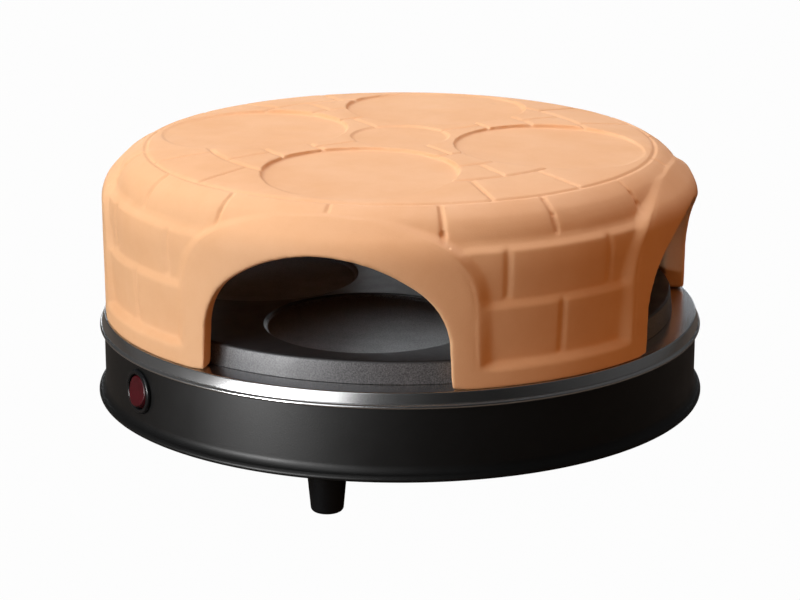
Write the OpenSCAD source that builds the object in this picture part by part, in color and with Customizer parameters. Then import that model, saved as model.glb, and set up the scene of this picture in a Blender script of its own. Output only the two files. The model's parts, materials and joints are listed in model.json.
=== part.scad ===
// Electric pizza maker: a round heated base, a loose non-stick plate and a lift-off
// terracotta dome with four arched mouths. Millimetres, +Z up, feet on Z = 0.
// The switch side of the front mouth faces -Y. Azimuths turn from -Y towards +X.

/* [Base drum] */
// Outer radius of the painted drum wall
drum_r = 173.4; // [168:0.1:178]
// Thickness of the drum sheet
drum_sheet = 1.5; // [1:0.1:2]
// How far the lower lip stands out from the wall
lip_out = 4.1; // [3:0.1:6]
// Radius of the rolled bead that ends the lip
lip_bead_r = 1.7; // [1.6:0.1:2.4]
// Radius of the flare between wall and lip
flare_r = 6; // [4:0.5:9]
// Radius of the rounded upper edge
drum_edge_r = 5; // [4:0.1:7]
// Width of the inward flange that carries the tray
drum_flange_w = 22; // [19:0.5:24]
// Height of the tray's deck above the table
deck_z = 73; // [70:0.5:80]

/* [Feet] */
// Height of the drum's lip above the table
foot_h = 24; // [18:0.5:27]
// Radius of a foot just under the cover
foot_top_r = 11.1; // [9.5:0.1:12]
// Radius of a foot at its tip
foot_tip_r = 9; // [8:0.1:9.5]
// Radius of the rounding at the tip
foot_round = 2.5; // [1:0.1:3]
// Distance from the drum's wall in to a foot's axis
foot_inset = 15.4; // [14.4:0.1:18]

/* [Steel tray] */
// Thickness of the tray sheet
tray_sheet = 1.2; // [0.8:0.1:1.5]
// How far the deck's edge lies behind the drum's wall
rim_set = 0.2; // [0:0.1:0.4]
// Height of the rim band
rim_h = 8.7; // [8:0.1:11]
// How far the band leans out
rim_lean = 1.7; // [1.5:0.1:3]
// Radius of the bead along the band's lower edge
rim_bead_r = 1.1; // [0.8:0.1:1.3]
// Width of the deck from the plate's foot in to the well
well_ledge = 13.4; // [12:0.1:18]
// Height of the well's floor above the bottom cover
well_lift = 23.6; // [21:0.1:26]
// How much narrower the well is at its floor
well_draft = 5; // [2:0.5:8]

/* [Terracotta dome] */
// How far the dome's pillars stand back from the deck's edge
dome_set = 0.5; // [0.2:0.1:2]
// Height of the dome at its centre
dome_h = 100.2; // [96:0.1:106]
// Wall thickness
dome_wall = 12; // [10.5:0.1:12.6]
// Radius of the rounded shoulder, outside
shoulder_r = 38; // [34:0.5:42]
// Distance from the pillars in to the ring groove on top
ring_inset = 25.7; // [24:0.1:27]
// Rise of the crown above the ring groove
crown_rise = 4.4; // [3.5:0.1:5.5]
// Radius of the flat middle of the crown
crown_flat_r = 80; // [60:1:90]

/* [Arches and hoods] */
// Half the width of a mouth where its arch springs
mouth_half_w = 67.3; // [60:0.1:70]
// Height of a mouth
mouth_h = 71.5; // [68:0.1:74]
// Radius of the mouth's side arcs
mouth_side_r = 40; // [34:0.5:44]
// Rise of the mouth's crown above its side arcs
mouth_flat = 9.5; // [7:0.1:12]
// How much each jamb splays at the foot
jamb_splay = 1.3; // [0.5:0.1:2.5]
// Width of the smooth band beside a mouth
hood_side = 13.2; // [11:0.1:15]
// Height of the sloping hood above a mouth
hood_rise = 19.5; // [17:0.1:21]
// Radius of the hood's side arcs
hood_side_r = 38; // [32:0.5:42]
// Rise of the hood's crown above its side arcs
hood_flat = 8; // [6:0.1:10]
// Slope of the hood's face from the vertical
hood_slope = 46; // [42:1:49]
// Radius of the rounding under the hood's face
hood_round = 20; // [12:0.5:22]
// How far below a mouth's crown the hood starts to lean back
hood_start = 3.8; // [2:0.1:6]

/* [Brickwork] */
// How far the brick fields lie behind the pillars
brick_inset = 1.7; // [1.2:0.1:2.4]
// Radius of a joint groove
joint_r = 1.3; // [1:0.1:1.5]
// Height of the smooth band along the dome's foot
foot_band = 13; // [11:0.5:16]
// Height of the lowest brick course
course_low_h = 33.5; // [30:0.5:36]
// Height of the next course, which ends on the shoulder
course_mid_h = 30; // [26:0.5:32]
// Bricks in the course round the shoulder
shoulder_bricks = 16; // [16]
// Half the angle between the joints of a two-joint course
joint_spread = 11; // [9:0.5:13]

/* [Top of the dome] */
// Distance from the ring groove in to the four large round recesses
dish_margin = 4.6; // [3.6:0.1:8]
// Distance from the small recess out to the large ones
boss_margin = 5.1; // [3:0.1:8]
// Depth of a recess at its inner edge
dish_depth = 1.9; // [1.5:0.1:2.4]
// Tilt of a recess floor, following the crown
dish_tilt = 1.3; // [1:0.1:1.6]
// Radius of the small recess in the middle
boss_r = 28.5; // [24:0.5:30]
// Depth of the small recess
boss_depth = 1.2; // [0.8:0.1:1.6]
// Width of one ring of bricks on the crown
crown_course = 28; // [27:0.5:29]

/* [Baking plate] */
// Gap between the plate's foot and the dome's inner wall
plate_gap = 1.3; // [0.8:0.1:4]
// Height of the plate
plate_h = 12.6; // [11:0.1:15]
// Thickness of the plate
plate_t = 3.4; // [3:0.1:4.5]
// How far the skirt leans in towards the top
plate_draft = 1.2; // [0.5:0.1:2]
// Radius of the rounding round the top
plate_edge_r = 2; // [1:0.1:3]
// Radius of the plate's plain middle, inside the baking recesses
plate_mid_r = 27; // [24:0.1:34]
// Width of the plate's plain edge, outside the baking recesses
pan_margin = 14.2; // [12:0.1:20]
// Depth of a baking recess
pan_depth = 2.6; // [1.6:0.1:3.2]
// How far the plate is turned in its seat
plate_turn = 3; // [-10:1:10]

/* [Heating element] */
// Radius of the element tube
tube_r = 3.3; // [3:0.1:4]
// Radius of the outer loop
loop_outer_r = 112; // [105:1:118]
// Radius of the inner loop
loop_inner_r = 64; // [58:1:70]
// Height of the tube's centre above the well's floor
tube_lift = 11; // [9:0.5:12]
// Half the angle left open between the element's ends and its turn
loop_gap = 20; // [18:1:26]
// Radius of the bend at each end of the tube
elbow_r = 8; // [6:0.5:9]
// Length of the cold ends below the well's floor
cold_end = 9; // [8:0.5:10]
// Thickness of a support bracket
bracket_t = 1.5; // [1:0.1:2]

/* [Heat shield and cut-out] */
// How much narrower the heat shield is than the well's floor
shield_inset = 23; // [21:0.5:30]
// Thickness of the heat shield
shield_t = 0.8; // [0.6:0.1:1.2]
// Drop from the well's underside to the shield
shield_drop = 14.8; // [14:0.1:16]
// Radius of the shield's spacers
spacer_r = 3; // [2.5:0.1:4]
// Radius of the thermal cut-out
cutout_r = 8; // [7:0.1:9]
// Height of the thermal cut-out
cutout_h = 9.6; // [8:0.1:10.5]

/* [Terminal block] */
// Width of the terminal block
block_w = 36; // [30:1:40]
// Depth of the terminal block
block_d = 16; // [14:0.5:18]
// Height of the terminal block
block_h = 14; // [12:0.5:16]
// Distance between the block's terminals
block_pitch = 10.6; // [9:0.1:12]
// Depth of a terminal's well
block_well_d = 5; // [4:0.5:7]

/* [Switch] */
// Azimuth of the switch
switch_az = -42.3; // [-50:0.1:-36]
// Radius of the switch's bezel
bezel_r = 12.8; // [12.5:0.1:14]
// How far the bezel stands off the drum
bezel_t = 2; // [1.5:0.1:3]
// Radius of the housing behind the wall
barrel_r = 11; // [10.9:0.1:11.5]
// Radius of the sphere that the rocker is cut from
rocker_r = 9.6; // [9:0.1:9.7]
// Angle of each half of the rocker's face
rocker_tilt = 8; // [6:0.5:9]
// Radius of the rocker's pivot pins
pivot_r = 1; // [0.8:0.1:1.2]

/* [Cord inlet] */
// Azimuth of the cord inlet
inlet_az = 150; // [145:1:155]
// Radius of the inlet's bore
inlet_bore_r = 3.6; // [3:0.1:4]
// Radius of the inlet's barrel
inlet_barrel_r = 6.5; // [6:0.1:7]
// Radius of the inlet's flange
inlet_flange_r = 9.5; // [9:0.1:11]

/* [Fasteners] */
// Radius of a screw's shank
screw_r = 2; // [1.8:0.1:2.2]
// Radius of a screw's head
screw_head_r = 3.6; // [3.4:0.1:3.8]
// Radius of a post
post_r = 5; // [4.5:0.1:5.5]
// Radius across the corners of a nut
nut_r = 4; // [3.8:0.1:4.4]
// Radius of an internal lead
lead_r = 1.3; // [1:0.1:1.5]

/* [Clearances] */
// Gap round a barrel or shank in its hole
hole_gap = 0.15; // [0.1:0.05:0.3]
// Gap between the rocker and its pocket
rocker_gap = 0.35; // [0.3:0.05:0.5]
// Running clearance of the pivot pins
pivot_gap = 0.05; // [0.03:0.01:0.08]
// Gap between the cover and the lip's bead
cover_gap = 0.3; // [0.2:0.1:0.6]
// Gap under the plate and the dome where they stand
stand_gap = 0.05; // [0.02:0.01:0.1]

/* [Hidden] */
$fn = 96;
crown_fn = 720;

quarter = 90;
mouths = [0, 1, 2, 3];
over = 1;                      // how far a cutter runs past what it cuts
arc_bite = 0.05;               // how far two arcs of an arch run into each other
knuckle_swell = 1.12;          // a knuckle's radius against that of its bar
bar_tuck = 0.3;               // how far a bar stops short of a knuckle's centre

// Heights
lip_top_z = foot_h + 2 * lip_bead_r;
cover_t = 1.4;
cover_bottom_z = foot_h + lip_bead_r - cover_t / 2;
cover_top_z = cover_bottom_z + cover_t;
tray_under_z = deck_z - tray_sheet;
flange_under_z = tray_under_z - drum_sheet;
well_floor_z = cover_top_z + well_lift;
well_under_z = well_floor_z - tray_sheet;
tube_z = well_floor_z + tube_lift;
shield_top_z = well_under_z - shield_drop;
shield_under_z = shield_top_z - shield_t;
stand_z = deck_z + stand_gap;

// Radii, from the drum's wall inwards
rim_top_r = drum_r - rim_set;
dome_r = rim_top_r - dome_set;
inner_r = dome_r - dome_wall;
plate_r = inner_r - plate_gap;
plate_top_r = plate_r - plate_draft;
well_r = plate_r - well_ledge;
well_floor_r = well_r - well_draft;
shield_r = well_floor_r - shield_inset;
foot_ring_r = drum_r - foot_inset;

// Drum and tray
drum_in_r = drum_r - drum_sheet;
drum_edge_z = tray_under_z - drum_edge_r;
flare_z = lip_top_z + flare_r * sin(acos(1 - (lip_out - lip_bead_r / 2) / flare_r));
bead_centre_r = drum_r + lip_out - lip_bead_r;
flange_in_r = drum_r - drum_flange_w;
cover_r = bead_centre_r - lip_bead_r - cover_gap;
rim_bead_c = [rim_top_r + rim_lean, deck_z - rim_h + rim_bead_r];

// Dome, in its own heights above the deck
brick_r = dome_r - brick_inset;
shoulder_x = brick_r - shoulder_r;
ring_r = dome_r - ring_inset;
dish_r = (ring_r - dish_margin - boss_margin - boss_r) / 2;
dish_ring_r = boss_r + boss_margin + dish_r;
ring_z = dome_h - crown_rise;
shoulder_z = ring_z - sqrt(pow(shoulder_r, 2) - pow(ring_r - shoulder_x, 2));
crown_r = (pow(ring_r - crown_flat_r, 2) + pow(crown_rise, 2)) / (2 * crown_rise);
inner_round = inner_r - shoulder_x;
hood_w = mouth_half_w + hood_side;
hood_h = mouth_h + hood_rise;
joint_2_z = foot_band + course_low_h;
joint_1_z = joint_2_z + course_mid_h;
joint_1_r = shoulder_x + sqrt(pow(shoulder_r, 2) - pow(joint_1_z - shoulder_z, 2));
cross_joint_r = 0.9 * joint_r;

// Baking plate
pan_r = (plate_top_r - pan_margin - plate_mid_r) / 2;
pan_ring_r = plate_mid_r + pan_r;
web_z = plate_h - plate_t - pan_depth;

// Switch, on an axis that points out of the drum
switch_z = (foot_h + deck_z) / 2;
pocket_r = rocker_r + rocker_gap;
pivot_y = 3;                   // from the bezel's face back to the pivot
pivot_x = pocket_r + 0.5;      // reach of the pivot pins into the housing's wall
pivot_bore_x = pivot_x + 2 * pivot_gap;
pocket_d = pivot_y + rocker_r * 0.6;
barrel_l = 22;
bezel_y = -(drum_r + bezel_t);
barrel_end_y = -(drum_in_r - barrel_l);
blade_w = 6;
blade_l = 5;
blade_x = [-7, 0, 7];
blade_z = switch_z - 3;        // lower edge of the switch's blades

// Places inside the base
foot_az = [0, 120, 240];       // feet, screws and posts, each a third of a turn on
block_gap = 2.3;               // between heat shield and terminal block
lead_gap = 3;                  // between the switch's barrel and the leads behind it
leg_az = 180;
block_az = inlet_az;
block_ring_r = shield_r + block_gap + block_d / 2;
cutout_ring_r = (loop_outer_r + loop_inner_r) / 2;
lead_ring_r = drum_in_r - barrel_l - lead_gap;
lead_z = cover_top_z + block_h / 2;
leg_end_z = well_under_z - cold_end;
bracket_az = [20, 120, 240];
spacer_az = [60, 200, 300];
spacer_ring_r = shield_r - 2 * spacer_r - nut_r;
leg_rings = [loop_outer_r, loop_inner_r];
bush_r = 7;                    // radius of an element bush's collar
bush_t = 2.5;                  // thickness of each collar
cutout_tab = cutout_r + 5;     // reach of the cut-out's fixing tabs
cutout_tab_t = 1;
tag_az = 105;                  // azimuth of the earth tag
tag_ring_r = 100;
tag_w = 8;
tag_t = 1;
block_wells = [-1, 0, 1];
block_face_r = block_ring_r - block_d / 2;
inner_lead_z = (shield_top_z + leg_end_z) / 2;
foot_seat_z = foot_h / 2;      // height of the screw head's seat inside a foot
post_bore_d = 16;              // depth of the screw's bore in a post
lamp_r = 1.6;                  // radius of the lamp in the switch's barrel

// Cord inlet
inlet_drop = 6;                // of the inlet's axis below the middle of the drum
inlet_z = (foot_h + deck_z) / 2 - inlet_drop;
gland_out = 8;
gland_in = 9;
gland_flange_t = 2.5;

function crown_z(r) = r < crown_flat_r ? dome_h
    : dome_h - crown_r + sqrt(pow(crown_r, 2) - pow(r - crown_flat_r, 2));

// Turns a child that faces -Y to an azimuth
module at_az(az) {
    rotate([0, 0, az]) children();
}

// Repeats a child at each quarter turn
module quarters(start = 0) {
    for (i = mouths) at_az(start + i * quarter) children();
}

// Repeats a child at each foot
module each_foot() {
    for (az = foot_az) at_az(az) children();
}

// Straight round rod between two points
module rod(p, q, r) {
    d = q - p;
    translate(p) rotate([0, acos(d.z / norm(d)), atan2(d.y, d.x)]) cylinder(h = norm(d), r = r);
}

// Ball that rounds the corner where two runs of bar meet
module knuckle(p, r) {
    translate(p) sphere(r * knuckle_swell);
}

// Horizontal arc of round bar between two azimuths
module arc_bar(ring_r, z, r, az_from, az_to) {
    rotate([0, 0, az_from - quarter]) rotate_extrude(angle = az_to - az_from)
        translate([ring_r, z]) circle(r);
}

// Point at a radius, azimuth and height
function at(r, az, z) = [r * sin(az), -r * cos(az), z];

// The same point moved sideways, square to its azimuth
function beside(x, r, az, z) = at(r, az, z) + [x * cos(az), x * sin(az), 0];

// Slot with round ends, along Y
module slot(l, w, h) {
    translate([-w / 2, -(l - w) / 2, 0]) cube([w, l - w, h]);
    for (s = [-1, 1]) translate([0, s * (l - w) / 2, 0]) cylinder(h = h, r = w / 2);
}

// Outline of a three-centred arch that stands on y = 0
module arch_outline(half_w, height, side_r, flat, splay) {
    spring = height - side_r - flat;
    c = half_w - side_r;
    drop = (pow(c, 2) - pow(flat, 2)) / (2 * flat);
    top_r = norm([c, drop]) + side_r - arc_bite;
    reach = 1 + side_r / norm([c, drop]);
    polygon([[-half_w - splay, -over], [half_w + splay, -over],
             [half_w - arc_bite, spring], [-half_w + arc_bite, spring]]);
    for (s = [-1, 1]) translate([s * c, spring]) circle(side_r);
    intersection() {
        translate([0, spring - drop]) circle(top_r);
        polygon([[0, spring - drop], [c * reach, spring + drop * (reach - 1)],
                 [c * reach, height + over], [-c * reach, height + over],
                 [-c * reach, spring + drop * (reach - 1)]]);
    }
}

// Arch outline pushed outwards from the axis through the wall
module arch_prism(half_w, height, side_r, flat, splay) {
    rotate([quarter, 0, 0]) translate([0, 0, shoulder_x / 2])
        linear_extrude(dome_r) arch_outline(half_w, height, side_r, flat, splay);
}

// Half profile of the region under the crown
module under_crown() {
    square([crown_flat_r, dome_h]);
    intersection() {
        translate([crown_flat_r, dome_h - crown_r]) circle(crown_r, $fn = crown_fn);
        translate([crown_flat_r, 0]) square([dome_r, dome_h]);
    }
}

// Half profile of the dome behind the brickwork, with the joints that run round it
module brick_profile() {
    difference() {
        intersection() {
            under_crown();
            union() {
                square([brick_r, shoulder_z]);
                square([shoulder_x, dome_h]);
                intersection() {
                    translate([shoulder_x, shoulder_z]) circle(shoulder_r);
                    translate([shoulder_x, shoulder_z]) square(shoulder_r);
                }
            }
        }
        for (p = [[ring_r, ring_z], [joint_1_r, joint_1_z], [brick_r, joint_2_z]])
            translate(p) circle(joint_r);
    }
}

// Half profile of the pillars and of the sloping hood faces
module hood_profile() {
    bend = hood_round * tan(hood_slope / 2);
    bend_z = mouth_h - hood_start + bend;
    top_z = hood_h + over;
    lean = (top_z - bend_z) * tan(hood_slope);
    polygon([[shoulder_x, 0], [dome_r, 0], [dome_r, bend_z - bend],
             [dome_r - bend * sin(hood_slope), bend_z + bend * cos(hood_slope)],
             [dome_r - lean, top_z], [shoulder_x, top_z]]);
    translate([dome_r - hood_round, bend_z - bend]) circle(hood_round);
}

// Joint down the shoulder between two heights at one azimuth
module shoulder_joint(az, z_from, z_to) {
    foot = asin((z_from - shoulder_z) / shoulder_r);
    top = asin((z_to - shoulder_z) / shoulder_r);
    at_az(az - quarter) translate([shoulder_x, 0, shoulder_z]) rotate([quarter, 0, 0]) rotate([0, 0, foot])
        rotate_extrude(angle = top - foot) translate([shoulder_r, 0]) circle(cross_joint_r);
}

// Joint up the wall between two heights at one azimuth
module wall_joint(az, z_from, z_to) {
    translate(at(brick_r, az, z_from)) cylinder(h = z_to - z_from, r = cross_joint_r);
}

// Joint across the crown between two radii at one azimuth
module crown_joint(az, r_from, r_to) {
    rod(at(r_from, az, crown_z(r_from)), at(r_to, az, crown_z(r_to)), cross_joint_r);
}

// Joint along the crown between two dishes
module crown_arc(r, mid) {
    half = quarter / 2 - acos((pow(r, 2) + pow(dish_ring_r, 2) - pow(dish_r, 2)) / (2 * r * dish_ring_r));
    arc_bar(r, crown_z(r), joint_r, mid - half - over, mid + half + over);
}

// Upright joints of the wall and shoulder
module wall_joints() {
    for (i = [0 : shoulder_bricks - 1]) shoulder_joint(i * 360 / shoulder_bricks, joint_1_z, ring_z);
    for (i = mouths) {
        mid = (i + 0.5) * quarter;
        for (s = [-1, 1]) {
            wall_joint(mid + s * joint_spread, joint_2_z, shoulder_z - bar_tuck);
            knuckle(at(brick_r, mid + s * joint_spread, shoulder_z), cross_joint_r);
            shoulder_joint(mid + s * joint_spread, shoulder_z + bar_tuck, joint_1_z);
        }
        wall_joint(mid, foot_band - over, joint_2_z);
    }
}

// Joints of the crown
module crown_joints() {
    for (i = mouths) {
        mid = (i + 0.5) * quarter;
        for (n = [2 : 4]) crown_arc(n * crown_course, mid);
        crown_joint(mid, boss_r - over, 2 * crown_course);
        crown_joint(mid, 3 * crown_course, 4 * crown_course);
        for (s = [-1, 1]) crown_joint(mid + s * joint_spread, 4 * crown_course, ring_r);
    }
}

// The round recesses of the crown
module crown_dishes() {
    translate([0, 0, dome_h - boss_depth]) cylinder(h = boss_depth + over, r = boss_r);
    quarters() translate([0, -(dish_ring_r - dish_r), dome_h - dish_depth]) rotate([dish_tilt, 0, 0])
        translate([0, -dish_r, 0]) cylinder(h = dome_h, r = dish_r);
}

// Hollow of the dome
module dome_hollow() {
    translate([0, 0, -over]) cylinder(h = shoulder_z + over, r = inner_r);
    rotate_extrude() {
        square([shoulder_x, shoulder_z + inner_round]);
        intersection() {
            translate([shoulder_x, shoulder_z]) circle(inner_round);
            translate([shoulder_x, shoulder_z]) square(inner_round);
        }
    }
}

module terracotta_dome() {
    color("#e2a777") translate([0, 0, stand_z]) difference() {
        union() {
            difference() {
                rotate_extrude() brick_profile();
                wall_joints();
                crown_joints();
            }
            quarters() intersection() {
                rotate_extrude() hood_profile();
                arch_prism(hood_w, hood_h, hood_side_r, hood_flat, jamb_splay);
            }
            cylinder(h = foot_band, r = dome_r);
        }
        dome_hollow();
        quarters() arch_prism(mouth_half_w, mouth_h, mouth_side_r, mouth_flat, jamb_splay);
        crown_dishes();
    }
}

module baking_plate() {
    color("#3a3836") translate([0, 0, stand_z]) at_az(plate_turn) difference() {
        rotate_extrude() {
            polygon([[0, 0], [plate_r, 0], [plate_top_r, plate_h - plate_edge_r],
                     [0, plate_h - plate_edge_r]]);
            square([plate_top_r - plate_edge_r, plate_h]);
            translate([plate_top_r - plate_edge_r, plate_h - plate_edge_r]) circle(plate_edge_r);
        }
        translate([0, 0, -over]) cylinder(h = web_z + over, r = plate_r - plate_t - plate_draft);
        quarters() translate([0, -pan_ring_r, plate_h - pan_depth])
            cylinder(h = pan_depth + over, r1 = pan_r - pan_depth / 2, r2 = pan_r + over / 2);
    }
}

// Half outline of the drum, drawn in by a distance
module drum_outline(inset) {
    square([drum_r - drum_edge_r, tray_under_z - inset]);
    square([drum_r - inset, drum_edge_z]);
    translate([drum_r - drum_edge_r, drum_edge_z]) circle(drum_edge_r - inset);
    difference() {
        square([bead_centre_r + lip_bead_r / 2, flare_z]);
        translate([drum_r + flare_r, flare_z]) circle(flare_r + inset);
    }
}

module base_drum() {
    color("#161616") difference() {
        rotate_extrude() {
            difference() {
                drum_outline(0);
                drum_outline(drum_sheet);
                square([flange_in_r, deck_z]);
                square([drum_r + lip_out, foot_h + lip_bead_r]);
            }
            translate([bead_centre_r, foot_h + lip_bead_r]) circle(lip_bead_r);
        }
        at_az(switch_az) translate([0, -drum_in_r + drum_edge_r, switch_z]) rotate([quarter, 0, 0])
            cylinder(h = 2 * drum_edge_r, r = barrel_r + hole_gap);
        at_az(inlet_az) translate([0, -drum_in_r + drum_edge_r, inlet_z]) rotate([quarter, 0, 0])
            cylinder(h = 2 * drum_edge_r, r = inlet_barrel_r + hole_gap);
    }
}

module bottom_cover() {
    vents = 24;
    vent_ring_r = 92;
    vent_l = 26;
    vent_w = 4;
    dish = 60;
    color("#202020") difference() {
        union() {
            translate([0, 0, cover_bottom_z]) cylinder(h = cover_t, r = cover_r);
            translate([0, 0, cover_top_z]) cylinder(h = cover_t, r = dish);
        }
        translate([0, 0, cover_bottom_z - over]) cylinder(h = cover_t + over, r = dish - cover_t);
        for (i = [0 : vents - 1]) at_az((i + 0.5) * 360 / vents)
            translate([0, -vent_ring_r, cover_bottom_z - over]) slot(vent_l, vent_w, cover_t + 2 * over);
        each_foot() translate([0, -foot_ring_r, cover_bottom_z - over])
            cylinder(h = cover_t + 2 * over, r = screw_r + hole_gap);
    }
}

module foot() {
    color("#141414") translate([0, -foot_ring_r, 0]) difference() {
        rotate_extrude() {
            polygon([[0, 0], [foot_tip_r - foot_round, 0], [foot_tip_r, foot_round],
                     [foot_top_r, cover_bottom_z], [0, cover_bottom_z]]);
            translate([foot_tip_r - foot_round, foot_round]) circle(foot_round);
        }
        translate([0, 0, -over]) cylinder(h = cover_bottom_z + 2 * over, r = screw_r + hole_gap);
        translate([0, 0, -over]) cylinder(h = foot_seat_z + over, r = screw_head_r + 2 * hole_gap);
    }
}

module foot_front() {
    at_az(foot_az[0]) foot();
}

module foot_right() {
    at_az(foot_az[1]) foot();
}

module foot_left() {
    at_az(foot_az[2]) foot();
}

module foot_screws() {
    head_h = 2.4;
    driver = 1.2;
    color("silver") each_foot() translate([0, -foot_ring_r, foot_seat_z]) difference() {
        union() {
            translate([0, 0, -head_h]) cylinder(h = head_h, r = screw_head_r);
            cylinder(h = cover_top_z + post_bore_d - 2 * over - foot_seat_z, r = screw_r);
        }
        translate([-screw_head_r, -driver / 2, -head_h - over])
            cube([2 * screw_head_r, driver, driver + over]);
    }
}

module support_posts() {
    color("#b9bcc0") each_foot() translate([0, -foot_ring_r, cover_top_z]) difference() {
        cylinder(h = flange_under_z - cover_top_z, r = post_r);
        translate([0, 0, -over]) cylinder(h = post_bore_d + over, r = screw_r + hole_gap);
    }
}

module steel_tray() {
    color("#c9ccd0") difference() {
        union() {
            rotate_extrude() polygon([
                     [0, well_floor_z], [well_floor_r, well_floor_z], [well_r, deck_z], [rim_top_r, deck_z],
                     [rim_bead_c.x + rim_bead_r / 2, rim_bead_c.y],
                     [rim_bead_c.x - rim_bead_r / 2, rim_bead_c.y], [rim_top_r - tray_sheet, tray_under_z],
                     [well_r + tray_sheet, tray_under_z], [well_floor_r + tray_sheet, well_under_z],
                     [0, well_under_z]]);
            rotate_extrude() translate(rim_bead_c) circle(rim_bead_r);
        }
        for (r = leg_rings) translate(beside(-elbow_r, r, leg_az, well_under_z - over))
            cylinder(h = tray_sheet + 2 * over, r = tube_r + 2 * hole_gap);
    }
}

module heating_element() {
    turn_r = (loop_outer_r - loop_inner_r) / 2;
    end_az = leg_az + 360 - 2 * loop_gap;
    leg_top_z = tube_z - elbow_r;
    color("#5c5a58") {
        for (r = leg_rings) {
            arc_bar(r, tube_z, tube_r, leg_az, end_az - atan(bar_tuck / r));
            at_az(leg_az) translate([0, -r, leg_top_z]) rotate([quarter, 0, 0]) rotate([0, 0, quarter])
                rotate_extrude(angle = quarter) translate([elbow_r, 0]) circle(tube_r);
            translate(beside(-elbow_r, r, leg_az, leg_end_z)) cylinder(h = leg_top_z - leg_end_z, r = tube_r);
            knuckle(at(r, end_az, tube_z), tube_r);
        }
        translate(beside(bar_tuck, (loop_outer_r + loop_inner_r) / 2, end_az, tube_z)) at_az(end_az)
            rotate([0, 0, -quarter]) rotate_extrude(angle = 2 * quarter)
                translate([turn_r, 0]) circle(tube_r);
    }
}

module element_brackets() {
    top = tube_z + tube_r + 2;
    foot_w = 9;
    reach = [loop_inner_r - 2 * tube_r, loop_outer_r + 2 * tube_r];
    color("#a9acb0") for (az = bracket_az) at_az(az) difference() {
        union() {
            translate([-bracket_t / 2, -reach[1], well_floor_z])
                cube([bracket_t, reach[1] - reach[0], top - well_floor_z]);
            translate([-foot_w / 2, -reach[1], well_floor_z]) cube([foot_w, reach[1] - reach[0], bracket_t]);
        }
        for (r = leg_rings) translate([-foot_w, -r, tube_z]) rotate([0, quarter, 0])
            cylinder(h = 2 * foot_w, r = tube_r + 2 * hole_gap);
    }
}

module element_bushes() {
    color("#e8e4da") for (r = leg_rings) translate(beside(-elbow_r, r, leg_az, well_floor_z)) difference() {
        cylinder(h = bush_t, r = bush_r);
        translate([0, 0, -over]) cylinder(h = bush_t + 2 * over, r = tube_r + hole_gap);
    }
}

module element_nuts() {
    color("#c8b070") for (r = leg_rings)
        translate(beside(-elbow_r, r, leg_az, well_under_z - bush_t)) difference() {
        cylinder(h = bush_t, r = bush_r, $fn = 6);
        translate([0, 0, -over]) cylinder(h = bush_t + 2 * over, r = tube_r + hole_gap);
    }
}

module heat_shield() {
    color("#d4d7da") translate([0, 0, shield_under_z]) difference() {
        cylinder(h = shield_t, r = shield_r);
        for (az = spacer_az) translate(at(spacer_ring_r, az, -over))
            cylinder(h = shield_t + 2 * over, r = screw_r + hole_gap);
    }
}

module shield_spacers() {
    stud_l = 4;
    color("#b9bcc0") for (az = spacer_az) {
        translate(at(spacer_ring_r, az, shield_top_z)) cylinder(h = shield_drop, r = spacer_r);
        translate(at(spacer_ring_r, az, shield_top_z - stud_l)) cylinder(h = stud_l, r = screw_r);
    }
}

module shield_nuts() {
    nut_t = 2.2;
    color("silver") for (az = spacer_az) translate(at(spacer_ring_r, az, shield_under_z - nut_t))
        difference() {
            cylinder(h = nut_t, r = nut_r, $fn = 6);
            translate([0, 0, -over]) cylinder(h = nut_t + 2 * over, r = screw_r + hole_gap);
        }
}

module thermal_cutout() {
    color("#2c2a28") translate(at(cutout_ring_r, block_az, well_under_z)) rotate([0, 0, block_az])
        difference() {
            union() {
                translate([0, 0, -cutout_h]) cylinder(h = cutout_h, r = cutout_r);
                translate([-cutout_tab, -cutout_r / 2, -cutout_tab_t])
                    cube([2 * cutout_tab, cutout_r, cutout_tab_t]);
            }
            for (s = [-1, 1]) translate([s * (cutout_tab - screw_r), 0, -cutout_tab_t - over])
                cylinder(h = cutout_tab_t + 2 * over, r = screw_r / 2 + hole_gap);
        }
}

module cutout_screws() {
    head_h = 1.4;
    color("silver") translate(at(cutout_ring_r, block_az, well_under_z)) rotate([0, 0, block_az])
        for (s = [-1, 1]) translate([s * (cutout_tab - screw_r), 0, -cutout_tab_t]) {
            translate([0, 0, -head_h]) cylinder(h = head_h, r = screw_r);
            cylinder(h = cutout_tab_t, r = screw_r / 2);
        }
}

module terminal_block() {
    color("#d8d4c4") at_az(block_az) translate([0, -block_ring_r, cover_top_z]) difference() {
        translate([-block_w / 2, -block_d / 2, 0]) cube([block_w, block_d, block_h]);
        for (i = block_wells) translate([i * block_pitch, 0, block_h - block_well_d])
            cylinder(h = block_well_d + over, r = screw_head_r);
        for (i = block_wells) translate([i * block_pitch - lead_r - hole_gap, -block_d, block_h / 2])
            rotate([-quarter, 0, 0]) cylinder(h = block_d - lead_r, r = lead_r + hole_gap);
    }
}

module terminal_screws() {
    head_h = 2;
    color("#c8a850") at_az(block_az) for (i = block_wells)
        translate([i * block_pitch, -block_ring_r, cover_top_z + block_h - block_well_d])
            cylinder(h = head_h, r = screw_head_r - hole_gap);
}

module earth_tag() {
    color("#c8b070") translate(at(tag_ring_r, tag_az, well_under_z)) rotate([0, 0, tag_az]) {
        translate([-tag_w / 2, -tag_w, -tag_t]) cube([tag_w, 2 * tag_w, tag_t]);
        translate([0, 0, -tag_t - over]) cylinder(h = over, r = tag_w / 2, $fn = 6);
    }
}

function unit(v) = v / norm(v);

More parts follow.
